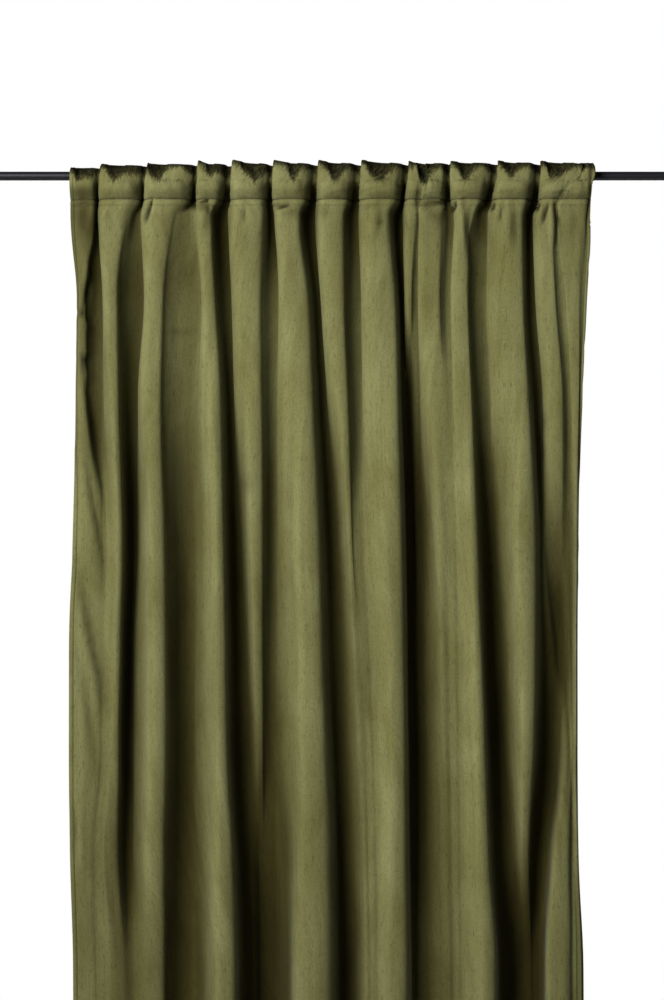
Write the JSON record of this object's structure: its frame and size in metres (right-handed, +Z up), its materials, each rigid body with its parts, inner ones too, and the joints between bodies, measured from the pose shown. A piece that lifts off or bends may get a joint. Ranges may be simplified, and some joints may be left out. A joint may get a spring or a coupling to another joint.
{
  "type": "curtain panel on a rod",
  "caption": "Velvet curtain panel gathered on a slim black rod through a stitched pocket, hanging in uneven vertical folds.",
  "frame": {"origin": "on the rod's axis, at the middle of its length", "axes": "+X along the rod to the viewer's right, +Z up, and the front of the cloth faces -Y"},
  "size_m": [1.4, 0.1138, 2.5003],
  "materials": {
    "olive_velvet": "matt cut pile",
    "black_rod_paint": "satin black"
  },
  "bodies": {
    "root": {"curtain_panel": "olive_velvet", "rod": "black_rod_paint"}
  },
  "joints": []
}
